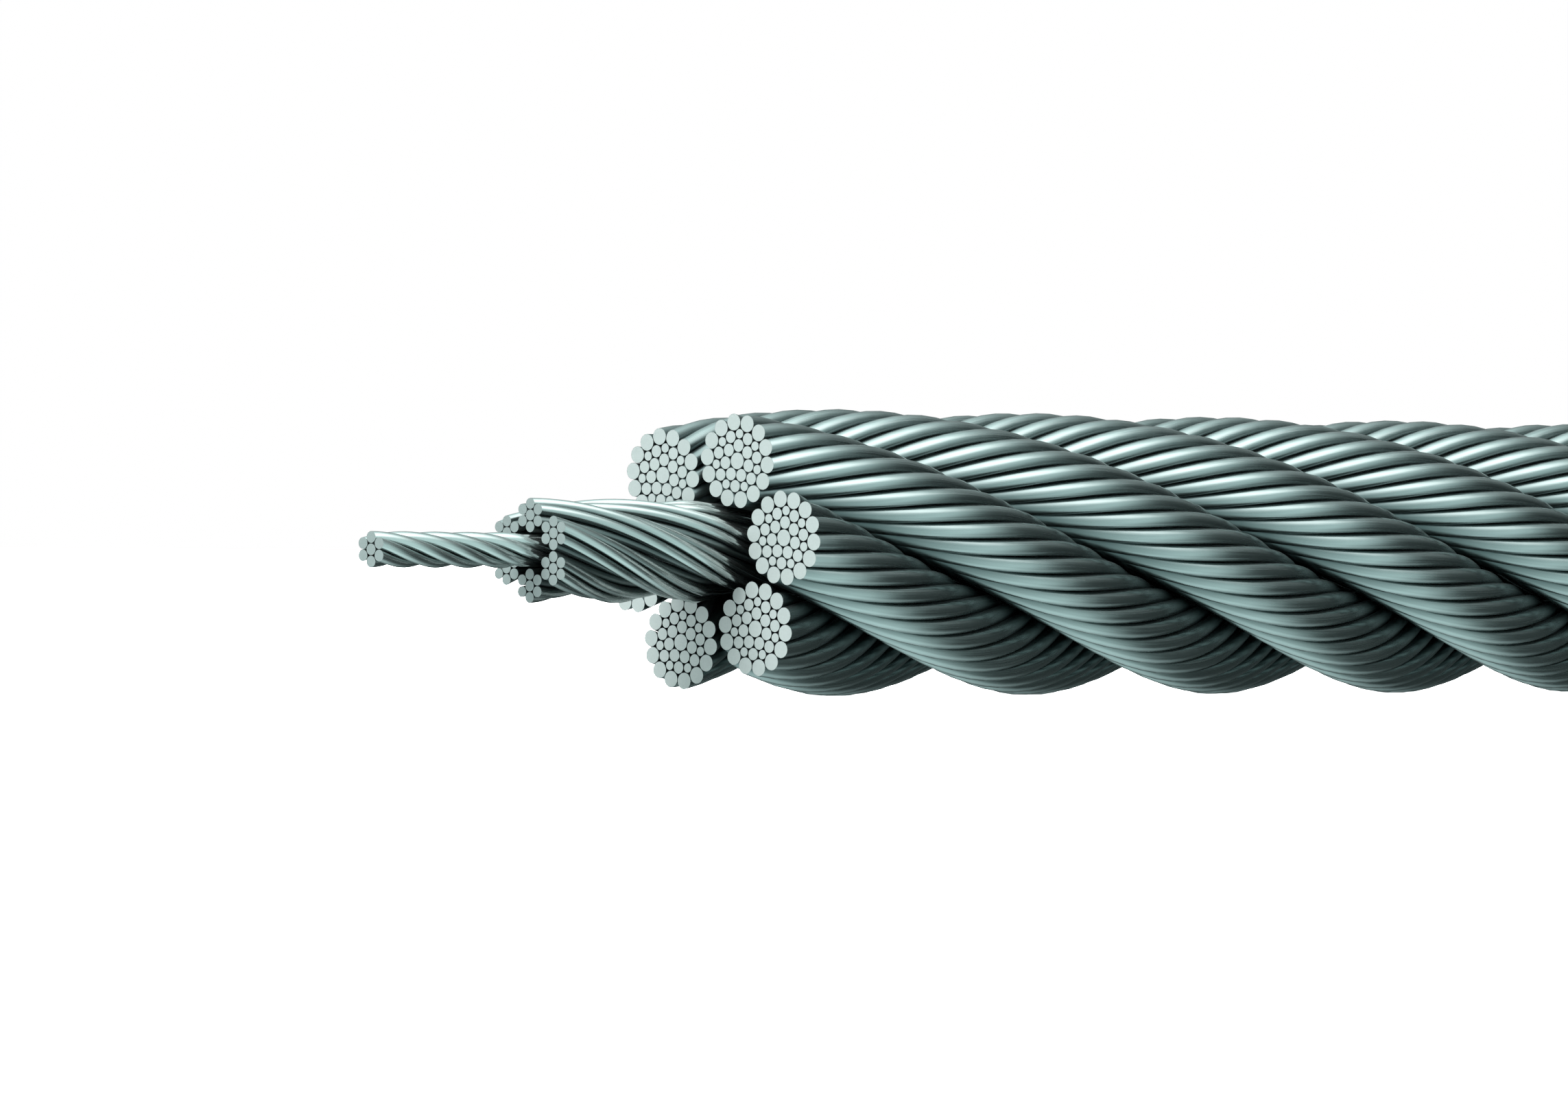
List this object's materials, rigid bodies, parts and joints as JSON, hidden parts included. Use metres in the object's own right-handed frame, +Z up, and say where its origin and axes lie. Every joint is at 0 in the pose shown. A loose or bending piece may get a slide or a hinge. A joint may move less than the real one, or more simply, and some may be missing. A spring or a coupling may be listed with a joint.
{
  "type": "stepped wire rope length",
  "caption": "Right-hand lay steel wire rope with an independent wire rope core, one end cut in steps so that the outer strands, core strands and centre strand show, the other end cut square.",
  "frame": {"origin": "middle of the bounding box in plan, on the level that the rope lies on", "axes": "+X along the rope from the stepped end to the square end, +Y across it, away from the side that the picture shows, +Z up"},
  "size_m": [0.3048, 0.032, 0.0319],
  "materials": {
    "outer_strand_steel": "satin drawn wire, grey with a slight green tint, dark in the gaps",
    "core_steel": "satin drawn wire, slightly darker than the outer strands"
  },
  "bodies": {
    "root": {"outer_strand_1": "outer_strand_steel", "outer_strand_2": "outer_strand_steel", "outer_strand_3": "outer_strand_steel", "outer_strand_4": "outer_strand_steel", "outer_strand_5": "outer_strand_steel", "outer_strand_6": "outer_strand_steel", "core_strand_1": "core_steel", "core_strand_2": "core_steel", "core_strand_3": "core_steel", "core_strand_4": "core_steel", "core_strand_5": "core_steel", "core_strand_6": "core_steel", "centre_strand": "core_steel"}
  },
  "joints": []
}
